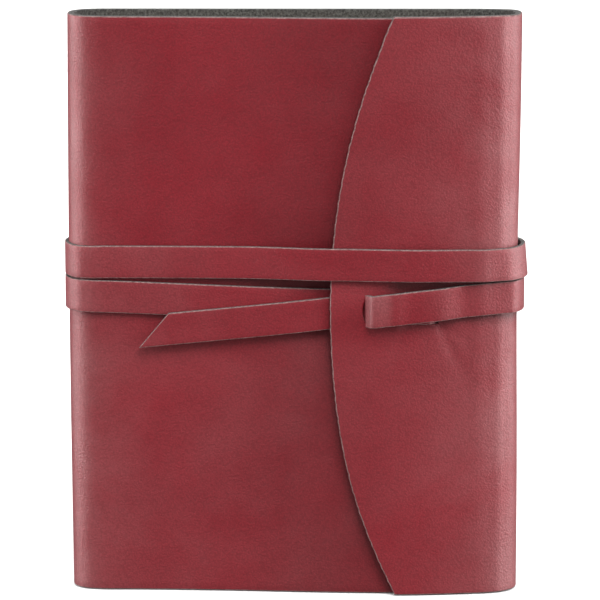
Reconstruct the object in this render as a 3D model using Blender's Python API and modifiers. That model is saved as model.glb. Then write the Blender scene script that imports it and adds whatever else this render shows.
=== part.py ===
"""Pocket notebook: a leather wrap journal, closed and standing on its lower edge.

+X runs from the spine to the fore edge, +Z up, and the front cover faces -Y.
The origin is the middle of the back cover's lower edge.
One strip of leather makes the back cover, the spine, the front cover, the fold
round the fore edge and the flap over the front. A flat strap goes round twice, and
is divided wherever the leather under it hinges.
"""

from math import cos, exp, pi, sin

import bmesh
import bpy
from mathutils import Vector

MM = 0.001
GAP = 0.3 * MM                    # clearance between neighbouring pieces

# Overall size of the closed book
HEIGHT = 155.0 * MM
SPINE_LEFT_X = -59.8 * MM
FORE_EDGE_X = 59.0 * MM
LEATHER = 1.9 * MM
BACK_Y = LEATHER / 2              # outer face of the back cover, whose middle is y = 0
SPINE_THICKNESS = 13.3 * MM       # over both covers at the spine
FLAP_RISE = 0.7 * MM              # the flap stands this much above the covers

# Leather bends at the two long edges
SPINE_DEPTH = 4.8 * MM
FOLD_DEPTH = 6.5 * MM
BEND_STEPS = 20
SPINE_X = SPINE_LEFT_X + SPINE_DEPTH
FOLD_X = FORE_EDGE_X - FOLD_DEPTH
COVER_END_X = FOLD_X - 2.5 * MM

# The front cover swells forward over the loose pages
SWELL = 3.2 * MM
SWELL_X = 24.5 * MM
SWELL_SPREAD_LEFT = 28.6 * MM
SWELL_SPREAD_RIGHT = 20.0 * MM
COVER_STEPS = 32

# Flap edge and slits
FLAP_TIP_X = 8.9 * MM
FLAP_EDGE_RADIUS = 185.0 * MM
FLAP_EDGE_Z = 79.0 * MM
FLAP_STEPS = 18
SLIT_WIDTH = 1.9 * MM
TAIL_SLIT_X = 18.2 * MM
ANCHOR_SLIT_LEFT_X = 28.2 * MM
ANCHOR_SLIT_RIGHT_X = 36.6 * MM
ANCHOR_SLIT_Z = 78.2 * MM

# Strap
STRAP_WIDTH = 8.6 * MM
STRAP_THICKNESS = 1.2 * MM
STRAP_LAYER = STRAP_THICKNESS + GAP
UPPER_Z = 89.9 * MM
LOWER_SPINE_Z = 80.8 * MM
LOWER_FLAP_Z = 78.3 * MM
TAIL_FOLD_Z = 80.9 * MM
TAIL_TIP_Z = 76.45 * MM
TAIL_SLOPE = 0.102
CUT_TOP_X = -33.6 * MM
CUT_BOTTOM_X = -41.4 * MM
LAYER_RAMP = 8.0 * MM             # length over which the strap climbs one layer
STRAP_STEP = 3.0 * MM

# Pages and sewing
PAGE_INSET_Z = 3.5 * MM
PAGE_LEFT_X = -53.2 * MM
PAGE_RIGHT_X = 47.0 * MM
FLYLEAF = 0.3 * MM
SIGNATURES = 6
LINER_THICKNESS = 0.4 * MM
LINER_INSET_Z = 12.0 * MM
TAPE_THICKNESS = 0.5 * MM
TAPE_WIDTH = 12.0 * MM
TAPES = 3
TAPE_SPACING = 46.0 * MM
THREAD_RADIUS = 0.25 * MM
THREAD_INSET_Z = 8.0 * MM

# Joint axes
COVER_AXIS = Vector((SPINE_X - 2.6 * MM, BACK_Y - SPINE_THICKNESS + 1.0 * MM, 0.0))
PAGE_AXIS = Vector((SPINE_X - 0.8 * MM, BACK_Y - SPINE_THICKNESS + 0.4 * MM, 0.0))
PIVOT_REACH = 1.11                # how far along the bend's diagonal its hinge line lies


# ---------------------------------------------------------------- materials

def make_material(name, colour, roughness, metallic=0.0):
    """A Principled material from a linear RGB colour."""
    material = bpy.data.materials.new(name)
    material.use_nodes = True
    shader = material.node_tree.nodes["Principled BSDF"]
    shader.inputs["Base Color"].default_value = (*colour, 1.0)
    shader.inputs["Roughness"].default_value = roughness
    shader.inputs["Metallic"].default_value = metallic
    material.diffuse_color = (*colour, 1.0)
    return material


LEATHER_RED = (0.235, 0.030, 0.040)
STRAP_RED = (0.225, 0.034, 0.044)
PAPER_CREAM = (0.78, 0.71, 0.57)
CLOTH_WHITE = (0.70, 0.67, 0.60)
THREAD_NATURAL = (0.62, 0.55, 0.42)


# ---------------------------------------------------------------- helpers

def add_object(name, mesh, material, origin=(0.0, 0.0, 0.0)):
    """Put a mesh given in world coordinates into the notebook, with its own material."""
    origin = Vector(origin)
    for vertex in mesh.vertices:
        vertex.co -= origin
    obj = bpy.data.objects.new(name, mesh)
    obj.location = origin
    obj.data.materials.append(material)
    notebook.objects.link(obj)
    return obj


def add_box(name, low, high, material, bevel=0.0, origin=(0.0, 0.0, 0.0)):
    """A box between two corners, its edges eased by a Bevel."""
    low = Vector(low)
    high = Vector(high)
    shape = bmesh.new()
    bmesh.ops.create_cube(shape, size=1.0)
    bmesh.ops.scale(shape, vec=high - low, verts=shape.verts)
    bmesh.ops.translate(shape, vec=(low + high) / 2, verts=shape.verts)
    mesh = bpy.data.meshes.new(name)
    shape.to_mesh(mesh)
    shape.free()
    obj = add_object(name, mesh, material, origin)
    if bevel:
        ease = obj.modifiers.new("eased edges", "BEVEL")
        ease.width = bevel
        ease.segments = 2
    return obj


def add_sheet(name, path, thickness, material, origin=(0.0, 0.0, 0.0)):
    """A sheet standing on a line of (x, y, bottom z, top z) points, thickened both ways."""
    shape = bmesh.new()
    previous = None
    for x, y, bottom, top in path:
        pair = (shape.verts.new((x, y, bottom)), shape.verts.new((x, y, top)))
        if previous:
            shape.faces.new((previous[0], pair[0], pair[1], previous[1]))
        previous = pair
    mesh = bpy.data.meshes.new(name)
    shape.to_mesh(mesh)
    shape.free()
    for polygon in mesh.polygons:
        polygon.use_smooth = True
    obj = add_object(name, mesh, material, origin)
    thicken = obj.modifiers.new("thickness", "SOLIDIFY")
    thicken.thickness = thickness
    thicken.offset = 0.0
    thicken.use_even_offset = True
    return obj


def add_cutter(name, mesh):
    """Keep a Boolean cutter out of the renders."""
    obj = bpy.data.objects.new(name, mesh)
    obj.display_type = "WIRE"
    obj.hide_render = True
    cutters.objects.link(obj)
    return obj


def cut(obj, cutter, operation="DIFFERENCE"):
    """Apply a cutter to a piece as an exact Boolean."""
    boolean = obj.modifiers.new(cutter.name, "BOOLEAN")
    boolean.object = cutter
    boolean.operation = operation
    boolean.solver = "EXACT"


def steps(start, end, count):
    """Evenly spaced values from start to end, both included."""
    return [start + (end - start) * i / count for i in range(count + 1)]


def ramp(value, start, end):
    """0 before start, 1 after end, smooth between (start may be the larger)."""
    t = min(max((value - start) / (end - start), 0.0), 1.0)
    return t * t * (3.0 - 2.0 * t)


# ---------------------------------------------------------------- leather lines

def swell(x):
    """How far the front cover stands forward of flat at x."""
    spread = SWELL_SPREAD_LEFT if x < SWELL_X else SWELL_SPREAD_RIGHT
    return SWELL * exp(-0.5 * ((x - SWELL_X) / spread) ** 2)


def cover_face(x):
    """Y of the front cover's outer face."""
    lift = swell(x) - swell(SPINE_X)
    return BACK_Y - SPINE_THICKNESS - lift


def flap_face(x):
    """Y of the flap's outer face."""
    return cover_face(x) - GAP - LEATHER


SPINE_MID_Y = BACK_Y - SPINE_THICKNESS / 2
SPINE_HALF = SPINE_THICKNESS / 2
FOLD_FRONT_Y = flap_face(FOLD_X)
FOLD_MID_Y = (BACK_Y + FOLD_FRONT_Y) / 2
FOLD_HALF = (BACK_Y - FOLD_FRONT_Y) / 2


def spine_bend(offset, z_low, z_high):
    """Points round the spine from front to back, offset outwards from its outer face."""
    points = []
    for angle in steps(-pi / 2, -3 * pi / 2, BEND_STEPS):
        x = SPINE_X + (SPINE_DEPTH + offset) * cos(angle)
        y = SPINE_MID_Y + (SPINE_HALF + offset) * sin(angle)
        points.append((min(x, SPINE_X), y, z_low, z_high))
    return points


def fold_bend(offset, z_low, z_high):
    """Points round the fore edge from back to front, offset outwards from its outer face."""
    points = []
    for angle in steps(pi / 2, -pi / 2, BEND_STEPS):
        x = FOLD_X + (FOLD_DEPTH + offset) * cos(angle)
        y = FOLD_MID_Y + (FOLD_HALF + offset) * sin(angle)
        points.append((max(x, FOLD_X), y, z_low, z_high))
    return points


def bend_axis(centre_x, centre_y, depth, half):
    """Hinge line of a quarter bend, on its diagonal just outside the leather."""
    reach = PIVOT_REACH * cos(pi / 4)
    return Vector((centre_x + depth * reach, centre_y + half * reach, 0.0))


FOLD_BACK_AXIS = bend_axis(FOLD_X, FOLD_MID_Y, FOLD_DEPTH, FOLD_HALF)
FOLD_FRONT_AXIS = bend_axis(FOLD_X, FOLD_MID_Y, FOLD_DEPTH, -FOLD_HALF)
FREE_END_AXIS = Vector((FLAP_TIP_X - GAP, cover_face(FLAP_TIP_X) - 1.5 * STRAP_LAYER, 0.0))


# ---------------------------------------------------------------- leather pieces

def build_back_cover():
    """The flat back cover."""
    low = (SPINE_X + GAP / 2, BACK_Y - LEATHER, 0.0)
    high = (FOLD_X - GAP / 2, BACK_Y, HEIGHT)
    material = make_material("back_cover_leather", LEATHER_RED, 0.55)
    add_box("back_cover", low, high, material)


def build_spine():
    """Leather rounded over the spine, fixed to the back cover."""
    material = make_material("spine_leather", LEATHER_RED, 0.5)
    path = spine_bend(-LEATHER / 2, 0.0, HEIGHT)
    first = path[0]
    last = path[-1]
    path[0] = (SPINE_X - GAP / 2, first[1], 0.0, HEIGHT)
    path[-1] = (SPINE_X - GAP / 2, last[1], 0.0, HEIGHT)
    add_sheet("spine", path, LEATHER, material)


def build_front_cover():
    """The front cover, swollen towards the fore edge."""
    material = make_material("front_cover_leather", LEATHER_RED, 0.5)
    path = []
    for x in steps(SPINE_X + GAP / 2, COVER_END_X, COVER_STEPS):
        path.append((x, cover_face(x) + LEATHER / 2, 0.0, HEIGHT))
    add_sheet("front_cover", path, LEATHER, material, COVER_AXIS)


def build_fore_edge_fold():
    """Leather rounded over the fore edge."""
    material = make_material("fore_edge_leather", LEATHER_RED, 0.5)
    path = fold_bend(-LEATHER / 2, 0.0, HEIGHT + FLAP_RISE)
    first = path[0]
    last = path[-1]
    path[0] = (FOLD_X + GAP / 2, first[1], first[2], first[3])
    path[-1] = (FOLD_X + GAP / 2, last[1], last[2], last[3])
    add_sheet("fore_edge_fold", path, LEATHER, material, FOLD_BACK_AXIS)


def build_flap():
    """The flap, its free edge cut to a long arc, with three slits for the strap."""
    material = make_material("flap_leather", LEATHER_RED, 0.5)
    path = []
    for x in steps(FOLD_X - GAP / 2, FLAP_TIP_X - LEATHER, FLAP_STEPS):
        path.append((x, flap_face(x) + LEATHER / 2, 0.0, HEIGHT + FLAP_RISE))
    flap = add_sheet("flap", path, LEATHER, material, FOLD_FRONT_AXIS)

    disc = bmesh.new()
    bmesh.ops.create_cone(disc, cap_ends=True, segments=256, radius1=FLAP_EDGE_RADIUS,
                          radius2=FLAP_EDGE_RADIUS, depth=HEIGHT)
    mesh = bpy.data.meshes.new("flap_edge_cutter")
    disc.to_mesh(mesh)
    disc.free()
    edge = add_cutter("flap_edge_cutter", mesh)
    edge.location = (FLAP_TIP_X + FLAP_EDGE_RADIUS, 0.0, FLAP_EDGE_Z)
    edge.rotation_euler = (pi / 2, 0.0, 0.0)
    cut(flap, edge, "INTERSECT")

    slits = (
        ("tail_slit_cutter", TAIL_SLIT_X, tail_z(TAIL_SLIT_X)),
        ("anchor_slit_left_cutter", ANCHOR_SLIT_LEFT_X, ANCHOR_SLIT_Z),
        ("anchor_slit_right_cutter", ANCHOR_SLIT_RIGHT_X, ANCHOR_SLIT_Z),
    )
    for name, x, z in slits:
        block = bmesh.new()
        bmesh.ops.create_cube(block, size=1.0)
        size = (SLIT_WIDTH, 8 * LEATHER, STRAP_WIDTH + 2 * GAP)
        bmesh.ops.scale(block, vec=size, verts=block.verts)
        mesh = bpy.data.meshes.new(name)
        block.to_mesh(mesh)
        block.free()
        slit = add_cutter(name, mesh)
        slit.location = (x, flap_face(x) + LEATHER / 2, z)
        cut(flap, slit)


# ---------------------------------------------------------------- pages and sewing

PAGES_FRONT_Y = BACK_Y - SPINE_THICKNESS + LEATHER + GAP
PAGES_BACK_Y = BACK_Y - LEATHER - GAP
PAGES_BOTTOM_Z = PAGE_INSET_Z
PAGES_TOP_Z = HEIGHT - PAGE_INSET_Z


def add_pages(name, front_y, thickness, material, origin=(0.0, 0.0, 0.0)):
    """One flat stack of paper across the full page size."""
    low = (PAGE_LEFT_X, front_y, PAGES_BOTTOM_Z)
    high = (PAGE_RIGHT_X, front_y + thickness, PAGES_TOP_Z)
    add_box(name, low, high, material, thickness / 5, origin)


def build_pages():
    """Two flyleaves and the folded, sewn signatures between them."""
    front_paper = make_material("front_flyleaf_paper", PAPER_CREAM, 0.85)
    add_pages("front_flyleaf", PAGES_FRONT_Y, FLYLEAF, front_paper, PAGE_AXIS)
    back_paper = make_material("back_flyleaf_paper", PAPER_CREAM, 0.85)
    add_pages("back_flyleaf", PAGES_BACK_Y - FLYLEAF, FLYLEAF, back_paper)

    first_y = PAGES_FRONT_Y + FLYLEAF + GAP
    room = PAGES_BACK_Y - FLYLEAF - GAP - first_y
    thickness = (room - (SIGNATURES - 1) * GAP) / SIGNATURES
    for index in range(SIGNATURES):
        paper = make_material(f"signature_{index + 1}_paper", PAPER_CREAM, 0.85)
        front_y = first_y + index * (thickness + GAP)
        origin = PAGE_AXIS if index == 0 else (0.0, 0.0, 0.0)
        add_pages(f"signature_{index + 1}", front_y, thickness, paper, origin)


def build_sewing():
    """Cloth liner, sewing tapes and the kettle stitches along the spine."""
    front_y = PAGES_FRONT_Y + GAP
    back_y = PAGES_BACK_Y - GAP
    liner_right = PAGE_LEFT_X - GAP
    liner_left = liner_right - LINER_THICKNESS
    cloth = make_material("spine_liner_cloth", CLOTH_WHITE, 0.9)
    add_box("spine_liner", (liner_left, front_y, LINER_INSET_Z),
            (liner_right, back_y, HEIGHT - LINER_INSET_Z), cloth)

    tape_right = liner_left - GAP
    for index in range(TAPES):
        z = HEIGHT / 2 + (index - (TAPES - 1) / 2) * TAPE_SPACING
        tape = make_material(f"sewing_tape_{index + 1}_linen", CLOTH_WHITE, 0.9)
        add_box(f"sewing_tape_{index + 1}",
                (tape_right - TAPE_THICKNESS, front_y, z - TAPE_WIDTH / 2),
                (tape_right, back_y, z + TAPE_WIDTH / 2), tape)

    for name, z in (("kettle_stitch_tail", THREAD_INSET_Z),
                    ("kettle_stitch_head", HEIGHT - THREAD_INSET_Z)):
        thread = make_material(name + "_thread", THREAD_NATURAL, 0.8)
        shape = bmesh.new()
        bmesh.ops.create_cone(shape, cap_ends=True, segments=16, radius1=THREAD_RADIUS,
                              radius2=THREAD_RADIUS, depth=back_y - front_y)
        mesh = bpy.data.meshes.new(name)
        shape.to_mesh(mesh)
        shape.free()
        for polygon in mesh.polygons:
            polygon.use_smooth = len(polygon.vertices) == 4
        obj = add_object(name, mesh, thread)
        obj.rotation_euler = (pi / 2, 0.0, 0.0)
        obj.location = (liner_right - THREAD_RADIUS, (front_y + back_y) / 2, z)


# ---------------------------------------------------------------- strap

def band(x, y, z):
    """One strap point: full width about its centre height."""
    return (x, y, z - STRAP_WIDTH / 2, z + STRAP_WIDTH / 2)


def outwards(layer):
    """Offset of the strap's middle from the leather for a layer number (0 is the first)."""
    return GAP + STRAP_THICKNESS / 2 + layer * STRAP_LAYER


def run(x_start, x_end):
    """X values along a straight run of strap."""
    count = max(2, round(abs(x_end - x_start) / STRAP_STEP))
    return steps(x_start, x_end, count)


def round_spine(z):
    """Strap points round the spine, front to back."""
    return spine_bend(outwards(0), z - STRAP_WIDTH / 2, z + STRAP_WIDTH / 2)[1:-1]


def round_fold(z):
    """Strap points round the fore edge, back to front."""
    return fold_bend(outwards(0), z - STRAP_WIDTH / 2, z + STRAP_WIDTH / 2)[1:-1]


def lower_z(x):
    """Height of the lower turn's middle on the front cover."""
    share = (x - SPINE_X) / (FLAP_TIP_X - SPINE_X)
    return LOWER_SPINE_Z + (LOWER_FLAP_Z - LOWER_SPINE_Z) * share


def tail_z(x):
    """Height of the tail's middle, on the flap and on past its edge."""
    return min(TAIL_TIP_Z + TAIL_SLOPE * (x - FLAP_TIP_X), TAIL_FOLD_Z)


def add_strap(name, path, origin=(0.0, 0.0, 0.0)):
    """One length of strap along a path, in its own leather."""
    material = make_material(name + "_leather", STRAP_RED, 0.5)
    return add_sheet(name, path, STRAP_THICKNESS, material, origin)


def add_back_strap(name, z_start, z_end, layer):
    """A strap length round the spine and across the back, climbing to its layer between."""
    path = round_spine(z_start)
    for x in run(SPINE_X, FOLD_X - GAP / 2):
        climb = ramp(x, SPINE_X, SPINE_X + LAYER_RAMP) * ramp(x, FOLD_X, FOLD_X - LAYER_RAMP)
        across = ramp(x, SPINE_X + LAYER_RAMP, FOLD_X - LAYER_RAMP)
        z = z_start + (z_end - z_start) * across
        path.append(band(x, BACK_Y + outwards(layer * climb), z))
    add_strap(name, path)


def build_front_strap():
    """The two bands lying on the front cover, from the flap's edge to the spine."""
    upper = []
    lower = []
    for x in run(FLAP_TIP_X - GAP, SPINE_X + GAP):
        upper.append(band(x, cover_face(x) - outwards(0), UPPER_Z))
        lower.append(band(x, cover_face(x) - outwards(0), lower_z(x)))
    add_strap("strap_upper_front", upper, COVER_AXIS)
    add_strap("strap_lower_front", lower, COVER_AXIS)


def build_fold_strap():
    """The two bands round the fore edge."""
    for name, z in (("strap_upper_fold", UPPER_Z), ("strap_tail_fold", TAIL_FOLD_Z)):
        add_strap(name, round_fold(z), FOLD_BACK_AXIS)


def build_flap_strap():
    """The upper band on the flap, and the tail running over the anchor to its slit."""
    upper = []
    for x in run(FOLD_X - GAP / 2, FLAP_TIP_X):
        upper.append(band(x, flap_face(x) - outwards(0), UPPER_Z))
    add_strap("strap_upper_flap", upper, FOLD_FRONT_AXIS)

    tail = []
    for x in run(FOLD_X - GAP / 2, TAIL_SLIT_X):
        over = ramp(x, ANCHOR_SLIT_RIGHT_X + LAYER_RAMP, ANCHOR_SLIT_RIGHT_X + GAP)
        over *= ramp(x, TAIL_SLIT_X + 3 * GAP, ANCHOR_SLIT_LEFT_X - 3 * GAP)
        tail.append(band(x, flap_face(x) - outwards(over), tail_z(x)))
    x, _, bottom, top = tail[-1]
    tail.append((x, flap_face(x) + LEATHER - GAP, bottom, top))
    add_strap("strap_tail", tail, FOLD_FRONT_AXIS)


def build_anchor():
    """The fixed end, woven out of one slit and in at the next."""
    left = ANCHOR_SLIT_LEFT_X
    right = ANCHOR_SLIT_RIGHT_X
    inner = LEATHER - GAP
    path = [band(left, flap_face(left) + inner, ANCHOR_SLIT_Z)]
    for x in steps(left, right, 2):
        path.append(band(x, flap_face(x) - outwards(0), ANCHOR_SLIT_Z))
    path.append(band(right, flap_face(right) + inner, ANCHOR_SLIT_Z))
    add_strap("strap_anchor", path, FOLD_FRONT_AXIS)


def build_free_end():
    """The loose end, out from under the flap over the lower turn, cut on a slant."""
    path = []
    for x in run(FLAP_TIP_X - GAP, (CUT_TOP_X + CUT_BOTTOM_X) / 2):
        path.append(band(x, cover_face(x) - outwards(1), tail_z(x)))
    piece = add_strap("strap_free_end", path, FREE_END_AXIS)
    slant = (CUT_TOP_X - CUT_BOTTOM_X) / 2
    piece.data.vertices[-2].co.x -= slant
    piece.data.vertices[-1].co.x += slant


# ---------------------------------------------------------------- build

for old in list(bpy.data.objects):
    bpy.data.objects.remove(old, do_unlink=True)

notebook = bpy.data.collections.new("pocket_notebook")
cutters = bpy.data.collections.new("cutters")
bpy.context.scene.collection.children.link(notebook)
bpy.context.scene.collection.children.link(cutters)

build_back_cover()
build_spine()
build_front_cover()
build_fore_edge_fold()
build_flap()
build_pages()
build_sewing()
add_back_strap("strap_lower_back", LOWER_SPINE_Z, UPPER_Z, 0)
add_back_strap("strap_upper_back", UPPER_Z, TAIL_FOLD_Z, 1)
build_front_strap()
build_fold_strap()
build_flap_strap()
build_anchor()
build_free_end()
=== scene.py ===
"""Looks of the pocket notebook: a leather wrap journal tied with a flat strap.

Leather and strap are sheets laid along lines seen from above. Every line is walked
left across the front, round the spine, right across the back, round the fore edge
and left again over the flap, so that its left-hand side is always the outside.
Lengths are metres; +X is towards the fore edge, +Z up, and the front faces -Y.
"""

from math import cos, hypot, pi, radians, sin

import bpy
import numpy as np
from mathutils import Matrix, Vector


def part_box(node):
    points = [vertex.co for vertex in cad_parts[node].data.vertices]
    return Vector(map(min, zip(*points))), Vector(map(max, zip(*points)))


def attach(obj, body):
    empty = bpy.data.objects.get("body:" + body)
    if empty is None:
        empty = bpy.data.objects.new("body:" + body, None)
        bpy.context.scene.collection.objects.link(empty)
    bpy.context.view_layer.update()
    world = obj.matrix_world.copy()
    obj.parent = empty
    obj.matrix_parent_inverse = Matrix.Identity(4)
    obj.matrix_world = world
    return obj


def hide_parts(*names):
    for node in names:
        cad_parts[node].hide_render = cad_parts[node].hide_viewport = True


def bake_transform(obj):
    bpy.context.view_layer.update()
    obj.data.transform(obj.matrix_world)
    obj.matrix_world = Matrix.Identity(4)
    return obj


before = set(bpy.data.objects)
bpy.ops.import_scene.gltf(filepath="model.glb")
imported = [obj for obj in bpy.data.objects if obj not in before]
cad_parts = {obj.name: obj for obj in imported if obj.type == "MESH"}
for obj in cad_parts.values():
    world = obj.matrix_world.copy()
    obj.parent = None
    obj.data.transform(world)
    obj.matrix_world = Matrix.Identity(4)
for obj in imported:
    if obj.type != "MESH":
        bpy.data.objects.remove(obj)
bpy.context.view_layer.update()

MM = 0.001

# ---------------------------------------------------------------- sizes, as in the CAD

HEIGHT = 155.0 * MM
SPINE_LEFT_X = -59.8 * MM
FORE_EDGE_X = 59.0 * MM
LEATHER = 1.9 * MM
BACK_Y = LEATHER / 2
SPINE_THICKNESS = 13.3 * MM
FLAP_RISE = 0.7 * MM
SPINE_DEPTH = 4.8 * MM
FOLD_DEPTH = 6.5 * MM
SPINE_X = SPINE_LEFT_X + SPINE_DEPTH
FOLD_X = FORE_EDGE_X - FOLD_DEPTH
COVER_END_X = FOLD_X - 2.5 * MM
LAYER_GAP = 0.3 * MM              # between the front cover and the flap

SWELL = 3.2 * MM                  # of the front cover over the pages
SWELL_X = 24.5 * MM
SWELL_SPREAD_LEFT = 28.6 * MM
SWELL_SPREAD_RIGHT = 20.0 * MM

FLAP_TIP_X = 8.9 * MM             # the furthest the flap's curved edge reaches
FLAP_EDGE_RADIUS = 185.0 * MM
FLAP_EDGE_Z = 79.0 * MM
EDGE_FULLNESS = 0.95 * MM         # the flap's lower half is cut a little fuller
EDGE_FULLNESS_Z = 28.0 * MM
EDGE_FULLNESS_SPREAD = 20.0 * MM
KNIFE_WANDER = 0.055 * MM         # unevenness of the cut along the flap's edge
TAIL_SLIT_X = 18.2 * MM
ANCHOR_SLIT_LEFT_X = 28.2 * MM
ANCHOR_SLIT_RIGHT_X = 36.6 * MM

STRAP_WIDTH = 8.6 * MM
STRAP_THICKNESS = 1.2 * MM
STRAP_GAP = 0.12 * MM             # between a strap and what it lies on
UPPER_Z = 89.9 * MM
LOWER_SPINE_Z = 80.8 * MM
LOWER_FLAP_Z = 78.3 * MM
ANCHOR_Z = 78.2 * MM
TAIL_FOLD_Z = 80.9 * MM
TAIL_TIP_Z = 76.45 * MM
TAIL_SLOPE = 0.102
CUT_TOP_X = -33.6 * MM
CUT_BOTTOM_X = -41.4 * MM
CUT_MID_X = (CUT_TOP_X + CUT_BOTTOM_X) / 2
LOOSE_END_X = 13.0 * MM           # where the loose end starts, under the flap
ANCHOR_END_X = 45.0 * MM

# ---------------------------------------------------------------- shape of the leather

PINCH = 1.8 * MM                  # how far the strap draws the swollen cover in
PINCH_Z = 84.0 * MM
PINCH_SPREAD = 17.0 * MM
DENT = 2.0 * MM                   # cover pressed in by the strap ends under the flap
DENT_Z = 77.8 * MM
DENT_SPREAD_Z = 8.0 * MM
DENT_X = 19.0 * MM
DENT_SPREAD_X = 15.0 * MM
FLAP_BUMP = 0.95 * MM             # flap lifted by the strap ends under it
FLAP_BUMP_SPREAD = 4.6 * MM
UNEVENNESS = 0.07 * MM            # size of each slow wave in the leather
SPINE_BOW = 0.35 * MM             # how far the spine bows out at mid height
FORE_EDGE_DRAW = 0.6 * MM         # how far the strap draws the fore edge in
FORE_EDGE_DRAW_Z = 82.0 * MM
FORE_EDGE_DRAW_SPREAD = 26.0 * MM
EDGE_ROLL = 0.7 * MM              # how far the leather rolls over before each long edge
STRAP_MID_Z = (UPPER_Z + LOWER_SPINE_Z) / 2


def ease(value, start, end):
    """0 at start, 1 at end, smooth between and level outside."""
    t = np.clip((value - start) / (end - start), 0.0, 1.0)
    return t * t * (3.0 - 2.0 * t)


def bell(value, centre, spread):
    """A smooth bump of height 1."""
    return np.exp(-0.5 * ((value - centre) / spread) ** 2)


def swell(x):
    """How far the front cover stands forward of flat at x, from the thickness of the pages."""
    spread = np.where(x < SWELL_X, SWELL_SPREAD_LEFT, SWELL_SPREAD_RIGHT)
    return SWELL * bell(x, SWELL_X, spread)


def cover_face(x):
    """Y of the front cover's outer face before the strap draws it in."""
    return BACK_Y - SPINE_THICKNESS - (swell(x) - swell(SPINE_X))


def flap_face(x):
    """Y of the flap's outer face before the strap draws it in."""
    return cover_face(x) - LAYER_GAP - LEATHER


def ripple(x, z):
    """Slow unevenness of soft leather: three crossing waves, 40 to 100 mm long."""
    wave = np.sin(x * 61.0 + z * 23.0 + 0.6) + 0.8 * np.sin(z * 74.0 - x * 31.0 + 2.1)
    wave = wave + 0.5 * np.sin(x * 117.0 - z * 93.0 + 4.0)
    return UNEVENNESS * wave


def front_share(x):
    """1 over the front of the book, fading to 0 at both long edges."""
    return ease(x, SPINE_X, SPINE_X + 12 * MM) * ease(x, FOLD_X, FOLD_X - 8 * MM)


def front_lift(x, z):
    """Outward shift shared by everything on the front of the book."""
    drawn_in = PINCH * bell(z, PINCH_Z, PINCH_SPREAD) * swell(x) / SWELL
    return front_share(x) * (ripple(x, z) - drawn_in)


def cover_lift(x, z):
    """Outward shift of the front cover."""
    dent = DENT * bell(z, DENT_Z, DENT_SPREAD_Z) * bell(x, DENT_X, DENT_SPREAD_X)
    return front_lift(x, z) + side_lift(x, z) - dent


def crease(x, z, start, end, width):
    """1 along the line between two (x, z) points, fading to its sides and its ends."""
    run_x = end[0] - start[0]
    run_z = end[1] - start[1]
    length = hypot(run_x, run_z)
    along = ((x - start[0]) * run_x + (z - start[1]) * run_z) / length ** 2
    aside = ((x - start[0]) * run_z - (z - start[1]) * run_x) / length
    return bell(aside, 0.0, width) * ease(along, -0.15, 0.15) * ease(along, 1.1, 0.4)


PUFF = 0.30 * MM                  # height and spread of the bulge beside the left slit
PUFF_SPREAD = 1.3 * MM
LONG_PULL = 0.26 * MM             # depths of the three creases
SHORT_PULL = 0.16 * MM
LEFT_PULL = 0.20 * MM


def pulls(x, z):
    """Small creases where the strap ends tug at the flap below their slits."""
    low = ANCHOR_Z - STRAP_WIDTH / 2
    puff = bell(x, ANCHOR_SLIT_LEFT_X - 1.6 * MM, PUFF_SPREAD) * bell(z, low - MM, PUFF_SPREAD)
    right = (ANCHOR_SLIT_RIGHT_X + 1 * MM, low)
    long_pull = crease(x, z, right, (right[0] + 7 * MM, low - 15 * MM), 1.1 * MM)
    short_pull = crease(x, z, right, (right[0] + 9 * MM, low - 6 * MM), 1.0 * MM)
    left = (ANCHOR_SLIT_LEFT_X, low - 2 * MM)
    left_pull = crease(x, z, left, (left[0] - 3 * MM, low - 12 * MM), 1.2 * MM)
    lift = PUFF * puff - LONG_PULL * long_pull
    return lift - SHORT_PULL * short_pull - LEFT_PULL * left_pull


def flap_lift(x, z):
    """Outward shift of the flap."""
    bump = FLAP_BUMP * bell(z, DENT_Z, FLAP_BUMP_SPREAD) * ease(x, 31 * MM, 22 * MM)
    return front_lift(x, z) + side_lift(x, z) + bump + pulls(x, z)


def side_lift(x, z):
    """Outward shift at the long edges: the spine bows out, the fore edge is drawn in."""
    bow = SPINE_BOW * np.sin(pi * np.clip(z / HEIGHT, 0.0, 1.0))
    draw = FORE_EDGE_DRAW * bell(z, FORE_EDGE_DRAW_Z, FORE_EDGE_DRAW_SPREAD)
    return bow * ease(x, SPINE_X + 6 * MM, SPINE_X) - draw * ease(x, FOLD_X - 6 * MM, FOLD_X)


def rolled(lift):
    """The same shift for the leather, which also rolls over a little before each long edge."""
    def shift(x, z):
        fold = ease(x, FOLD_X - 5 * MM, FOLD_X + 3 * MM) * ease(x, FORE_EDGE_X, FOLD_X + 3 * MM)
        spine = ease(x, SPINE_X + 5 * MM, SPINE_X - 2 * MM)
        spine = spine * ease(x, SPINE_LEFT_X, SPINE_X - 2 * MM)
        free = 1.0 - 0.85 * bell(z, STRAP_MID_Z, 9 * MM)
        return lift(x, z) - EDGE_ROLL * free * (fold + spine)
    return shift


def no_lift(x, z):
    """No shift."""
    return 0.0 * x


# ---------------------------------------------------------------- paleness and painted shade of the leather
# Each of these gives two amounts at (x, z): how far the dye is paler, rubbed in places, and
# how far painted shade darkens the leather by the flap's edge and around the straps.

def strap_shade_band(z):
    """1 in the band between the two turns of strap, where painted shade darkens the leather."""
    return ease(z, 72 * MM, 77 * MM) * ease(z, 93 * MM, 88 * MM)


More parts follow.
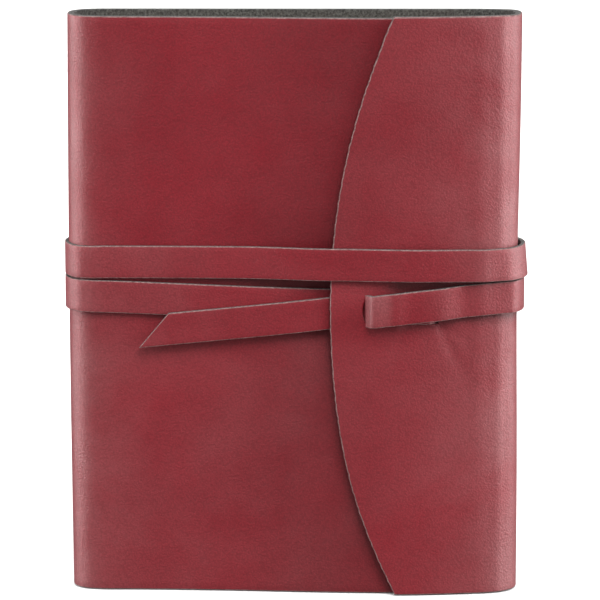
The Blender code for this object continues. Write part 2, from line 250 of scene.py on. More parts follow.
def cover_wear_and_shade(x, z):
    """Paler low down and near the spine; painted shade by the flap's edge, above the upper turn and
    between the straps.
    """
    low = 0.13 * ease(z, 86 * MM, 56 * MM) * (0.8 + 0.2 * ease(x, -5 * MM, -40 * MM))
    near_spine = 0.10 * ease(x, SPINE_X + 20 * MM, SPINE_X)
    # painted shade: the flap's raised edge shades the cover to its left
    by_flap = 0.36 * ease(x, -30 * MM, 10 * MM)
    # painted shade above the upper turn, towards the flap
    above = 0.22 * bell(z, 96 * MM, 5 * MM) * ease(x, -40 * MM, 8 * MM)
    # painted shade between and under the two turns of strap, towards the flap
    between = 0.8 * strap_shade_band(z) * ease(x, -45 * MM, -12 * MM)
    return low + near_spine, by_flap + above + between


def flap_wear_and_shade(x, z):
    """Paler towards the fore edge; painted shade between the straps."""
    # the second amount is painted shade between the straps
    return 0.08 + 0.22 * ease(x, 28 * MM, FOLD_X), 0.9 * strap_shade_band(z) * ease(x, 21 * MM, 28 * MM)


def strap_wear(x, z):
    """Rubbed towards both long edges."""
    return 0.03 + 0.13 * ease(x, -8 * MM, -42 * MM) + 0.26 * ease(x, 30 * MM, FOLD_X), 0.0 * x


def tail_wear(x, z):
    """As the strap, and rubbed where the tail is tucked through its slit."""
    pale, dark = strap_wear(x, z)
    knob = ease(x, TAIL_SLIT_X - 1.5 * MM, TAIL_SLIT_X)
    knob = knob * ease(x, TAIL_SLIT_X + 8 * MM, TAIL_SLIT_X + 5.5 * MM)
    return pale + 0.26 * knob, dark


def no_wear(x, z):
    """Neither rubbed nor dark."""
    return 0.0 * x, 0.0 * x


# ---------------------------------------------------------------- lines seen from above

LINE_STEP = 0.25 * MM
BEND_RADIUS = 4.0 * MM            # outer bends as tight as this are fully pale
BEND_SPREAD = 1.6 * MM


class Line:
    """A line of (x, y, z) points walked by distance, with its outward direction."""

    def __init__(self, points, soften=0.0):
        raw = np.array(points, float)
        gone = np.r_[0.0, np.cumsum(np.hypot(*np.diff(raw[:, :2], axis=0).T))]
        steps = np.linspace(0.0, gone[-1], max(8, int(gone[-1] / LINE_STEP)))
        even = np.stack([np.interp(steps, gone, raw[:, i]) for i in range(3)], 1)
        if soften:
            reach = int(3 * soften / LINE_STEP)
            weights = bell(np.arange(-reach, reach + 1) * LINE_STEP, 0.0, soften)
            weights /= weights.sum()
            before = 2 * even[0] - even[reach:0:-1]
            after = 2 * even[-1] - even[-2:-reach - 2:-1]
            padded = np.vstack([before, even, after])
            for i in range(3):
                even[:, i] = np.convolve(padded[:, i], weights, "valid")
        self.points = even
        self.along = np.r_[0.0, np.cumsum(np.hypot(*np.diff(even[:, :2], axis=0).T))]
        heading = np.gradient(even[:, :2], axis=0)
        heading /= np.hypot(heading[:, 0], heading[:, 1])[:, None]
        self.out = np.stack([-heading[:, 1], heading[:, 0]], 1)
        angle = np.unwrap(np.arctan2(heading[:, 1], heading[:, 0]))
        turn = np.clip(-np.gradient(angle) / LINE_STEP * BEND_RADIUS, 0.0, 1.0)
        count = int(3 * BEND_SPREAD / LINE_STEP) + 1
        reach = np.arange(-count, count + 1) * LINE_STEP
        weights = bell(reach, 0.0, BEND_SPREAD)
        self.bent = np.convolve(turn, weights / weights.sum(), "same")

    def at(self, s):
        """x, y, z and the outward direction at distances s along the line."""
        place = [np.interp(s, self.along, self.points[:, i]) for i in range(3)]
        out = [np.interp(s, self.along, self.out[:, i]) for i in range(2)]
        size = np.hypot(*out)
        return place[0], place[1], place[2], out[0] / size, out[1] / size

    def bend(self, s):
        """How sharply the outside is bent at distances s, 0 to 1."""
        return np.interp(s, self.along, self.bent)

    def near(self, x, y):
        """Distance along the line of the point nearest (x, y)."""
        gap = np.hypot(self.points[:, 0] - x, self.points[:, 1] - y)
        return self.along[gap.argmin()]


SPINE_MID_Y = BACK_Y - SPINE_THICKNESS / 2
SPINE_HALF = SPINE_THICKNESS / 2
FOLD_FRONT_Y = float(flap_face(FOLD_X))
FOLD_MID_Y = (BACK_Y + FOLD_FRONT_Y) / 2
FOLD_HALF = (BACK_Y - FOLD_FRONT_Y) / 2


def arc(centre_x, centre_y, half_x, half_y, start, end, z, offset=0.0, count=60):
    """Points round part of an ellipse, pushed outwards by offset."""
    points = []
    for angle in np.radians(np.linspace(start, end, count)):
        x = centre_x + (half_x + offset) * cos(angle)
        y = centre_y + (half_y + offset) * sin(angle)
        points.append((x, y, z))
    return points


def round_spine(z=0.0, offset=0.0):
    """Front to back round the spine."""
    return arc(SPINE_X, SPINE_MID_Y, SPINE_DEPTH, SPINE_HALF, 270, 90, z, offset)


def round_fold(z=0.0, offset=0.0, slack=0.0):
    """Back to front round the fore edge, slack being how far it stands off at the side."""
    return arc(FOLD_X, FOLD_MID_Y, FOLD_DEPTH + slack, FOLD_HALF, 90, -90, z, offset)


def wrap_line():
    """The leather's outer face: front cover, spine, back cover, fold, flap."""
    points = [(x, cover_face(x), 0.0) for x in np.linspace(COVER_END_X, SPINE_X, 120)]
    points += round_spine()
    points += [(x, BACK_Y, 0.0) for x in np.linspace(SPINE_X, FOLD_X, 60)]
    points += round_fold()
    points += [(x, flap_face(x), 0.0) for x in np.linspace(FOLD_X, FLAP_TIP_X - 2 * MM, 60)]
    return Line(points, soften=0.7 * MM)


# ---------------------------------------------------------------- sheets

GRAIN, RIM, CUT_EDGE, FLESH = 0, 1, 2, 3
CORNER_STEPS = 3
BEND_PALENESS = 0.30


def section(low, high, thickness, corner, rows):
    """One closed loop of (z, depth, zone) round a sheet's edge-on outline, outside first."""
    turns = np.linspace(0, pi / 2, CORNER_STEPS + 1)
    heights = np.linspace(low + corner, high - corner, rows)
    loop = [(z, 0.0, GRAIN) for z in heights]
    loop += [(high - corner + corner * sin(a), corner - corner * cos(a), RIM) for a in turns[1:]]
    loop += [(high - corner + corner * cos(a), thickness - corner + corner * sin(a), CUT_EDGE)
             for a in turns[:-1]]
    loop += [(z, thickness, FLESH) for z in heights[::-1]]
    loop += [(low + corner - corner * sin(a), thickness - corner + corner * cos(a), CUT_EDGE)
             for a in turns[1:]]
    loop += [(low + corner - corner * cos(a), corner - corner * sin(a), RIM) for a in turns[:-1]]
    return loop


def lay_sheet(name, line, start, end, low, high, thickness, materials, lift=no_lift,
              corner=0.22 * MM, row_step=2.0 * MM, column_step=1.2 * MM,
              cut_start=False, cut_end=False, end_at=None, wear_and_shade=no_wear, grain_shift=0.0):
    """A sheet of leather laid along a line from start to end, its outer face on the line.

    A cut end is squared off with rounded corners; an end that isn't cut is a seam and
    stays open. end_at gives a shaped end: distance along the line at height z. A function
    of (x, z) gives how pale and how dark the leather is, the dark being painted shade;
    bends are paler as well. grain_shift slides the grain along, to carry it on from a
    piece laid on another line.
    """
    rows = max(3, int((high - low) / row_step))
    loop = section(low, high, thickness, corner, rows)
    z = np.array([p[0] for p in loop])
    depth = np.array([p[1] for p in loop])
    zone = [p[2] for p in loop]
    last = end_at(z) if end_at else np.full(len(z), end)
    first = np.full(len(z), start)

    turns = np.linspace(0, pi / 2, CORNER_STEPS + 1)
    columns = []                                  # (share of the way, distance in, squeeze)
    if cut_start:
        columns += [(0.0, corner - corner * sin(a), corner - corner * cos(a))
                    for a in turns[::-1][:-1]]
    count = max(2, int(abs(end - start) / column_step))
    for share in np.linspace(0.0, 1.0, count + 1):
        inset = 0.0
        if cut_start and share == 0.0:
            inset = corner
        if cut_end and share == 1.0:
            inset = -corner
        columns.append((share, inset, 0.0))
    if cut_end:
        columns += [(1.0, corner * sin(a) - corner, corner - corner * cos(a))
                    for a in turns[1:]]

    size = len(loop)
    vertices = []
    coordinates = []
    rubbed = []
    painted_shade = []
    for share, inset, squeeze in columns:
        s = first + (last - first) * share + inset
        into = np.clip(depth, squeeze, thickness - squeeze)
        x, y, middle, out_x, out_y = line.at(s)
        height = middle + z
        push = lift(x, height) - into
        vertices += list(zip(x + out_x * push, y + out_y * push, height))
        coordinates += list(zip(s + grain_shift + 0.6 * into, z + 0.6 * into))
        # the second amount is painted shade
        pale, dark = wear_and_shade(x, height)
        rubbed += list(pale + BEND_PALENESS * line.bend(s))
        painted_shade += list(dark)

    def face_zone(c, a, b):
        """The zone of a face in column c between loop zones a and b."""
        if columns[c][2] > 0.0 or columns[c + 1][2] > 0.0:
            return RIM if GRAIN in (a, b) else CUT_EDGE
        if a == b or {a, b} == {GRAIN, RIM}:
            return max(a, b)
        return CUT_EDGE

    faces = []
    zones = []
    for c in range(len(columns) - 1):
        for k in range(size):
            n = (k + 1) % size
            faces.append((c * size + k, c * size + n, (c + 1) * size + n, (c + 1) * size + k))
            zones.append(face_zone(c, zone[k], zone[n]))
    ends = []
    if cut_start:
        ends.append((0, False))
    if cut_end:
        ends.append(((len(columns) - 1) * size, True))
    for base, far in ends:
        for k in range(-CORNER_STEPS, rows + CORNER_STEPS - 1):
            a, b = base + k % size, base + (k + 1) % size
            mirror = (rows - 1 + CORNER_STEPS) * 2 + 1
            c, d = base + (mirror - k - 1) % size, base + (mirror - k) % size
            if len({a, b, c, d}) < 4:
                continue
            faces.append((a, b, c, d) if far else (d, c, b, a))
            zones.append(CUT_EDGE)

    mesh = bpy.data.meshes.new(name)
    mesh.from_pydata(vertices, [], faces)
    layer = mesh.uv_layers.new(name="along_and_up")
    for corner_loop in mesh.loops:
        layer.data[corner_loop.index].uv = coordinates[corner_loop.vertex_index]
    # the second attribute carries painted shade into the leather's colour
    for label, values in (("rubbed", rubbed), ("painted_shade", painted_shade)):
        mesh.attributes.new(label, "FLOAT", "POINT").data.foreach_set("value", values)
    for polygon, which in zip(mesh.polygons, zones):
        polygon.material_index = which
        polygon.use_smooth = True
    for material in materials:
        mesh.materials.append(material)
    obj = bpy.data.objects.new(name, mesh)
    bpy.context.scene.collection.objects.link(obj)
    return obj


# ---------------------------------------------------------------- materials

class Shader:
    """Small helper that wires a Principled material together."""

    def __init__(self, name):
        self.material = bpy.data.materials.new(name)
        self.material.use_nodes = True
        self.tree = self.material.node_tree
        self.main = self.tree.nodes["Principled BSDF"]

    def node(self, kind, **settings):
        made = self.tree.nodes.new(kind)
        for key, value in settings.items():
            setattr(made, key, value)
        return made

    def link(self, source, target):
        self.tree.links.new(source, target)

    def coordinates(self, kind):
        return self.node("ShaderNodeTexCoord").outputs[kind]

    def noise(self, where, scale, detail=3.0, roughness=0.5, stretch=None, distortion=0.0):
        if stretch:
            squeeze = self.node("ShaderNodeMapping")
            squeeze.inputs["Scale"].default_value = stretch
            self.link(where, squeeze.inputs["Vector"])
            where = squeeze.outputs["Vector"]
        made = self.node("ShaderNodeTexNoise")
        made.inputs["Scale"].default_value = scale
        made.inputs["Detail"].default_value = detail
        made.inputs["Roughness"].default_value = roughness
        made.inputs["Distortion"].default_value = distortion
        self.link(where, made.inputs["Vector"])
        return made.outputs["Fac"]

    def cells(self, where, scale):
        made = self.node("ShaderNodeTexVoronoi", feature="SMOOTH_F1")
        made.inputs["Scale"].default_value = scale
        self.link(where, made.inputs["Vector"])
        return made.outputs["Distance"]

    def ramp(self, value, low, high, low_out=0.0, high_out=1.0):
        made = self.node("ShaderNodeMapRange")
        made.inputs["From Min"].default_value = low
        made.inputs["From Max"].default_value = high
        made.inputs["To Min"].default_value = low_out
        made.inputs["To Max"].default_value = high_out
        self.link(value, made.inputs["Value"])
        return made.outputs["Result"]

    def math(self, operation, a, b):
        made = self.node("ShaderNodeMath", operation=operation)
        for socket, value in zip(made.inputs, (a, b)):
            if isinstance(value, (int, float)):
                socket.default_value = value
            else:
                self.link(value, socket)
        return made.outputs["Value"]

    def mix(self, share, a, b, blend="MIX"):
        made = self.node("ShaderNodeMix", data_type="RGBA", blend_type=blend)
        for key, value in (("Factor", share), ("A", a), ("B", b)):
            if key == "Factor":
                socket = made.inputs[0]
            else:
                socket = made.inputs[6 if key == "A" else 7]
            if isinstance(value, (int, float)):
                socket.default_value = value
            elif isinstance(value, tuple):
                socket.default_value = (*value, 1.0)
            else:
                self.link(value, socket)
        return made.outputs[2]

    def bump(self, height, strength, distance, normal=None):
        made = self.node("ShaderNodeBump")
        made.inputs["Strength"].default_value = strength
        made.inputs["Distance"].default_value = distance
        self.link(height, made.inputs["Height"])
        if normal:
            self.link(normal, made.inputs["Normal"])
        return made.outputs["Normal"]


RUBBED = (0.41, 0.145, 0.152)       # dyed leather where it's rubbed or bent


def leather_grain(name, dark, light):
    """The dyed outer face: mottled, pale where it's rubbed or bent, darkened by painted shade, with
    a fine pebbled grain.
    """
    s = Shader(name)
    uv = s.coordinates("UV")
    mottle = s.ramp(s.noise(uv, 26.0, 4.0, 0.6), 0.35, 0.65)
    colour = s.mix(mottle, dark, light)
    rubbed = s.node("ShaderNodeAttribute", attribute_name="rubbed").outputs["Fac"]
    painted_shade = s.node("ShaderNodeAttribute", attribute_name="painted_shade").outputs["Fac"]
    patches = s.ramp(s.noise(uv, 34.0, 5.0, 0.6, distortion=0.4), 0.3, 0.72, 0.25, 1.75)
    colour = s.mix(s.math("MULTIPLY", rubbed, patches), colour, RUBBED)
    # painted shade: darkens the colour to 0.45 of itself where the shade amount is 1
    shade_factor = s.ramp(painted_shade, 0.0, 1.0, 1.0, 0.45)
    pebble = s.cells(uv, 2100.0)
    crease = s.ramp(pebble, 0.10, 0.62, 1.10, 0.86)
    fleck = s.ramp(s.noise(uv, 2600.0, 3.0, 0.7), 0.3, 0.7, 0.84, 1.16)
    shade = s.math("MULTIPLY", s.math("MULTIPLY", shade_factor, crease), fleck)
    grey = s.node("ShaderNodeCombineColor")
    for channel in grey.inputs:
        s.link(shade, channel)
    colour = s.mix(1.0, colour, grey.outputs["Color"], "MULTIPLY")
    s.link(colour, s.main.inputs["Base Color"])
    pores = s.noise(uv, 3800.0, 4.0, 0.6)
    height = s.math("ADD", s.math("MULTIPLY", pebble, -0.9), s.math("MULTIPLY", pores, 0.7))
    slow = s.bump(s.noise(uv, 150.0, 3.0, 0.5), 0.15, 0.0006)
    s.link(s.bump(height, 0.42, 0.0002, slow), s.main.inputs["Normal"])
    rough = s.ramp(s.noise(uv, 70.0, 4.0, 0.6), 0.3, 0.7, 0.44, 0.58)
    s.link(rough, s.main.inputs["Roughness"])
    s.main.inputs["Specular IOR Level"].default_value = 0.42
    s.main.inputs["Sheen Weight"].default_value = 0.05
    s.main.inputs["Sheen Roughness"].default_value = 0.45
    s.main.inputs["Sheen Tint"].default_value = (0.95, 0.72, 0.70, 1.0)
    return s.material


def leather_rim(name):
    """The corner of the dyed face along a cut: a thin pale pink line, partly worn and partly a
    painted highlight along the edge.
    """
    s = Shader(name)
    uv = s.coordinates("UV")
    fibres = s.ramp(s.noise(uv, 900.0, 5.0, 0.75), 0.36, 0.66)
    # the pale pink stands partly for a painted highlight along the cut edge
    colour = s.mix(fibres, (0.20, 0.080, 0.080), (0.50, 0.31, 0.30))
    s.link(colour, s.main.inputs["Base Color"])
    s.link(s.bump(s.noise(uv, 3200.0, 4.0, 0.7), 0.6, 0.0003), s.main.inputs["Normal"])
    s.main.inputs["Roughness"].default_value = 0.92
    s.main.inputs["Specular IOR Level"].default_value = 0.2
    return s.material


def leather_flesh(name, cloudiness):
    """The undyed inside and the cut thickness: dark grey, matt, flecked with pale fibres."""
    s = Shader(name)
    uv = s.coordinates("UV")
    fibres = s.ramp(s.noise(uv, 1700.0, 6.0, 0.8, stretch=(1.0, 0.7, 1.0)), 0.42, 0.66)
    colour = s.mix(fibres, (0.036, 0.037, 0.035), (0.215, 0.215, 0.20))
    cloud = s.ramp(s.noise(uv, 60.0, 3.0), 0.3, 0.7, 0.0, cloudiness)
    colour = s.mix(cloud, colour, (0.10, 0.075, 0.07))
    s.link(colour, s.main.inputs["Base Color"])
    s.link(s.bump(s.noise(uv, 1400.0, 8.0, 0.8), 0.7, 0.0005), s.main.inputs["Normal"])
    s.main.inputs["Roughness"].default_value = 1.0
    s.main.inputs["Specular IOR Level"].default_value = 0.1
    s.main.inputs["Sheen Weight"].default_value = 0.15
    return s.material


def paper(name, tint):
    """Uncoated cream paper: faint fibres and slow tone changes."""
    s = Shader(name)
    where = s.coordinates("Object")
    cloud = s.ramp(s.noise(where, 45.0, 4.0, 0.6), 0.3, 0.7)
    warm = tuple(c * 0.93 for c in tint)
    colour = s.mix(cloud, warm, tint)
    fibres = s.ramp(s.noise(where, 1800.0, 5.0, 0.7, stretch=(1.0, 1.0, 0.35)), 0.3, 0.7, 0.0, 0.10)
    colour = s.mix(fibres, colour, (0.50, 0.42, 0.30))
    s.link(colour, s.main.inputs["Base Color"])
    s.link(s.bump(s.noise(where, 2500.0, 4.0, 0.6), 0.15, 0.0001), s.main.inputs["Normal"])
    rough = s.ramp(s.noise(where, 300.0, 2.0), 0.3, 0.7, 0.82, 0.95)
    s.link(rough, s.main.inputs["Roughness"])
    s.main.inputs["Specular IOR Level"].default_value = 0.25
    return s.material


def woven(name, tint, pitch):
    """Plain-woven cloth or tape."""
    s = Shader(name)
    where = s.coordinates("Object")
    waves = []
    for direction in ("Y", "Z"):
        wave = s.node("ShaderNodeTexWave", wave_type="BANDS", bands_direction=direction)
        wave.inputs["Scale"].default_value = 1.0 / pitch / 6.3
        wave.inputs["Distortion"].default_value = 0.6
        s.link(where, wave.inputs["Vector"])
        waves.append(wave.outputs["Fac"])
    threads = s.math("MULTIPLY", waves[0], waves[1])
    shade = tuple(c * 0.62 for c in tint)
    colour = s.mix(threads, shade, tint)
    stain = s.ramp(s.noise(where, 120.0, 4.0), 0.4, 0.8, 0.0, 0.25)
    colour = s.mix(stain, colour, (0.45, 0.37, 0.25))
    s.link(colour, s.main.inputs["Base Color"])
    s.link(s.bump(threads, 0.6, 0.0003), s.main.inputs["Normal"])
    s.main.inputs["Roughness"].default_value = 0.95
    return s.material


# ---------------------------------------------------------------- leather wrap

DYE_DARK = (0.262, 0.0078, 0.0175)
DYE_LIGHT = (0.308, 0.0125, 0.0235)

cut_edge = leather_flesh("cut_edge", 0.15)
leather = (leather_grain("dyed_leather", DYE_DARK, DYE_LIGHT), leather_rim("rim_wear_and_highlight"), cut_edge,
           leather_flesh("flesh_side", 0.35))

wrap = wrap_line()
SPINE_LEFT = (SPINE_LEFT_X, SPINE_MID_Y)
FOLD_RIGHT = (FORE_EDGE_X, FOLD_MID_Y)
FOLD_BACK = (FOLD_X, BACK_Y)
spine_left_s = wrap.near(*SPINE_LEFT)
fold_back_s = wrap.near(*FOLD_BACK)
fold_right_s = wrap.near(*FOLD_RIGHT)


def bend(obj):
    """Bake a piece's placement into its mesh."""
    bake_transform(obj)


def build_wrap():
    """The four lengths of the leather wrap."""
    front = lay_sheet("wrap_front_cover", wrap, 0.0, spine_left_s, 0.0, HEIGHT, LEATHER,
                      leather, rolled(cover_lift), cut_start=True, wear_and_shade=cover_wear_and_shade)
    bend(front)
    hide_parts("front_cover")

    back = lay_sheet("wrap_back_cover", wrap, spine_left_s, fold_back_s, 0.0, HEIGHT, LEATHER,
                     leather, rolled(side_lift), wear_and_shade=cover_wear_and_shade)
    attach(back, "book")
    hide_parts("back_cover", "spine")

    fold = lay_sheet("wrap_fore_edge", wrap, fold_back_s, fold_right_s, 0.0, HEIGHT, LEATHER,
                     leather, rolled(side_lift), wear_and_shade=flap_wear_and_shade)
    stretch_top(fold, lambda x: FLAP_RISE * 0.5 * ease(x, FOLD_X, FORE_EDGE_X))
    bend(fold)
    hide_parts("fore_edge_fold")

    tip = wrap.near(FLAP_TIP_X, flap_face(FLAP_TIP_X))

    def edge(z):
        sag = FLAP_EDGE_RADIUS - np.sqrt(FLAP_EDGE_RADIUS ** 2 - (z - FLAP_EDGE_Z) ** 2)
        full = EDGE_FULLNESS * bell(z, EDGE_FULLNESS_Z, EDGE_FULLNESS_SPREAD)
        uneven = np.sin(z * 2030.0) + 0.8 * np.sin(z * 3310.0 + 1.3) + 0.6 * np.sin(z * 890.0)
        return tip - sag + full + KNIFE_WANDER * uneven

    flap = lay_sheet("wrap_flap", wrap, fold_right_s, tip, 0.0, HEIGHT, LEATHER, leather,
                     rolled(flap_lift), corner=0.3 * MM, row_step=0.7 * MM, column_step=0.6 * MM,
                     cut_end=True, end_at=edge, wear_and_shade=flap_wear_and_shade)
    stretch_top(flap, lambda x: FLAP_RISE * (0.5 + 0.5 * ease(x, FORE_EDGE_X, FOLD_X)))
    cut_slits(flap)
    bend(flap)
    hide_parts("flap")


def stretch_top(obj, rise):
    """Raise the top 12 mm of a piece, so that its top edge climbs by rise(x)."""
    for vertex in obj.data.vertices:
        share = ease(vertex.co.z, HEIGHT - 12 * MM, HEIGHT - 2 * MM)
        vertex.co.z += float(rise(vertex.co.x) * share)


SLIT_WIDTH = 1.55 * MM
TAIL_SLIT_BOW = 1.2 * MM          # how far its ends curve towards the fore edge
SLIT_REACH = 5.0 * MM             # of the cutter, to each side of the flap's face
SLIT_STEPS = 8


def slit_cutter(x, z, half, bow):
    """An upright bar, bowed to the right at both ends, as tall as the slit."""
    vertices = []
    faces = []
    for i in range(SLIT_STEPS + 1):
        t = -1 + 2 * i / SLIT_STEPS
        for side in (-1, 1):
            for y in (flap_face(x) - SLIT_REACH, flap_face(x) + SLIT_REACH):
                vertices.append((x + bow * t * t + side * SLIT_WIDTH / 2, y, z + t * half))
    for i in range(SLIT_STEPS):
        a = i * 4
        b = a + 4
        faces += [(a, b, b + 1, a + 1), (a + 2, a + 3, b + 3, b + 2),
                  (a, a + 2, b + 2, b), (a + 1, b + 1, b + 3, a + 3)]
    top = SLIT_STEPS * 4
    faces += [(0, 1, 3, 2), (top, top + 2, top + 3, top + 1)]
    mesh = bpy.data.meshes.new("slit")
    mesh.from_pydata(vertices, [], faces)
    for material in leather:
        mesh.materials.append(material)
    for polygon in mesh.polygons:
        polygon.material_index = CUT_EDGE
    cutter = bpy.data.objects.new("slit", mesh)
    bpy.context.scene.collection.objects.link(cutter)
    return cutter


def cut_slits(flap):
    """Three slits through the flap for the strap, a little shorter than it is wide."""
    half = STRAP_WIDTH / 2
    for x, z, length, bow in (
            (TAIL_SLIT_X, tail_z(TAIL_SLIT_X), half - 0.4 * MM, TAIL_SLIT_BOW),
            (ANCHOR_SLIT_LEFT_X, ANCHOR_Z, half - 0.8 * MM, 0.0),
            (ANCHOR_SLIT_RIGHT_X, ANCHOR_Z, half, 0.0)):
        cutter = slit_cutter(x, z, length, bow)
        boolean = flap.modifiers.new("slit", "BOOLEAN")
        boolean.object = cutter
        boolean.operation = "DIFFERENCE"
        boolean.solver = "EXACT"
        graph = bpy.context.evaluated_depsgraph_get()
        cut = bpy.data.meshes.new_from_object(flap.evaluated_get(graph))
        flap.modifiers.clear()
        flap.data = cut
        bpy.data.objects.remove(cutter)


# ---------------------------------------------------------------- strap

def tail_z(x):
    """Height of the tail's middle."""
    return min(TAIL_TIP_Z + TAIL_SLOPE * (x - FLAP_TIP_X), TAIL_FOLD_Z)


def lower_z(x):
    """Height of the lower band's middle on the front cover."""
    share = (x - SPINE_X) / (FLAP_TIP_X - SPINE_X)
    return LOWER_SPINE_Z + (LOWER_FLAP_Z - LOWER_SPINE_Z) * share


STRAP_OUT = STRAP_GAP + STRAP_THICKNESS   # leather to the strap's outer face
BAND_STEP = 1.0 * MM
STRAP_SOFTEN = 0.5 * MM           # how far the strap's bends are smoothed along it


def span(start, end):
    """X values along a run of strap."""
    return np.linspace(start, end, max(3, int(abs(end - start) / BAND_STEP)))


def cover_y(x, z, layer=0.0):
    """Y of the outer face of a strap on the front cover."""
    return float(cover_face(x) - cover_lift(x, z) - STRAP_OUT * (1 + layer))


def flap_y(x, z, layer=0.0):
    """Y of the outer face of a strap on the flap."""
    return float(flap_face(x) - flap_lift(x, z) - STRAP_OUT * (1 + layer))


UPPER_SLACK = 0.5 * MM            # how far the upper turn stands off the fore edge
UPPER_FLARE = 0.35 * MM           # and how much further its lower edge does
SLIT_RUN = 1.5 * MM               # to each side of a slit that the strap takes to pass it
UPPER_CORNER = 8                  # steps of the fore edge's arc left out before the front,
TAIL_CORNER = 13                  # where the upper turn and the tail cut the corner
UPPER_START = 15                  # step of that arc at which the second turn's line starts
CROSSING = 8.0 * MM               # run at each end of the back before a turn starts to cross it


def upper_flare(x, z):
    """The upper turn's lower edge stands out further than its upper edge at the fore edge."""
    return UPPER_FLARE * ease(x, FOLD_X, FORE_EDGE_X) * (UPPER_Z - z) / (STRAP_WIDTH / 2)


def behind(z_start, z_end, layer, slack=0.0):
    """Round the spine, slanting across the back on top of layer others, and round the fore edge."""
    points = round_spine(z_start, STRAP_OUT)
    left, right = SPINE_X + CROSSING, FOLD_X - CROSSING
    for x in span(SPINE_X, FOLD_X)[1:-1]:
        climb = layer * ease(x, SPINE_X, left) * ease(x, FOLD_X, right)
        across = ease(x, left, right)
        y = BACK_Y + STRAP_OUT * (1 + climb)
        points.append((x, y, z_start + (z_end - z_start) * across))
    return points + round_fold(z_end, STRAP_OUT, slack)


def first_turn():
    """From the anchor's end, under the flap and once round to the upper band's start."""
    inner = LEATHER + STRAP_GAP
    left, right = ANCHOR_SLIT_LEFT_X, ANCHOR_SLIT_RIGHT_X

    def under(x, z):
        return float(flap_face(x) - flap_lift(x, z)) + inner

    points = [(x, under(x, ANCHOR_Z), ANCHOR_Z) for x in span(ANCHOR_END_X, right + SLIT_RUN)]
    points += [(x, flap_y(x, ANCHOR_Z), ANCHOR_Z) for x in span(right - SLIT_RUN, left + SLIT_RUN)]
    for x in span(left - SLIT_RUN, FLAP_TIP_X):
        z = ANCHOR_Z + (LOWER_FLAP_Z - ANCHOR_Z) * float(ease(x, left, FLAP_TIP_X))
        deep = cover_y(x, z)
        sunk = float(ease(x, left - 1.2 * MM, left - 8.2 * MM))
        points.append((x, under(x, z) + (deep - under(x, z)) * sunk, z))
    points += [(x, cover_y(x, lower_z(x)), lower_z(x)) for x in span(FLAP_TIP_X, SPINE_X)[1:-1]]
    points += behind(LOWER_SPINE_Z, UPPER_Z, 0, UPPER_SLACK)
    points += [(FOLD_X - 1 * MM, flap_y(FOLD_X - 1 * MM, UPPER_Z), UPPER_Z)]
    return Line(points, soften=STRAP_SOFTEN)


def second_turn():
    """The upper band across the front, once round, and the tail to its cut end.

    Both times it leaves the fore edge a little before the front, to cut the corner. It
    lies one layer up where another length of strap is under it.
    """
    points = round_fold(UPPER_Z, STRAP_OUT, UPPER_SLACK)[UPPER_START:-UPPER_CORNER]
    for x in span(FOLD_X - 3 * MM, SPINE_X)[:-1]:
        off_flap = float(ease(x, FLAP_TIP_X + 1 * MM, FLAP_TIP_X - 24 * MM))
        on_tail = 1.1 * float(ease(x, 11 * MM, 34 * MM))
        y = flap_y(x, UPPER_Z, on_tail)
        points.append((x, y + (cover_y(x, UPPER_Z) - y) * off_flap, UPPER_Z))
    points += behind(UPPER_Z, TAIL_FOLD_Z, 1)[:-TAIL_CORNER]
    slit = TAIL_SLIT_X
    for x in span(FOLD_X - 3.5 * MM, slit + 1.6 * MM):
        on_anchor = float(ease(x, ANCHOR_SLIT_RIGHT_X + 8 * MM, ANCHOR_SLIT_RIGHT_X + 1 * MM))
        on_anchor *= float(ease(x, slit + 3 * MM, ANCHOR_SLIT_LEFT_X - 1 * MM))
        knob = 0.75 * float(bell(x, slit + 2.6 * MM, 2.0 * MM))
        points.append((x, flap_y(x, tail_z(x), on_anchor + knob), tail_z(x)))
    for x in span(slit - 1.2 * MM, CUT_MID_X - 6 * MM):
        on_lower_band = 1.0 + 0.35 * float(ease(x, -20 * MM, 5 * MM))
        points.append((x, cover_y(x, tail_z(x), on_lower_band), tail_z(x)))
    return Line(points, soften=STRAP_SOFTEN)


def add_strap(name, line, start, end, stands_for, wear_and_shade=strap_wear, **ends):
    """One length of the strap between two distances along its line."""
    obj = lay_sheet(name, line, start, end, -STRAP_WIDTH / 2, STRAP_WIDTH / 2, STRAP_THICKNESS,
                    leather, corner=0.2 * MM, row_step=1.0 * MM, column_step=0.6 * MM,
                    wear_and_shade=wear_and_shade, **ends)
    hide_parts(stands_for)
    return obj


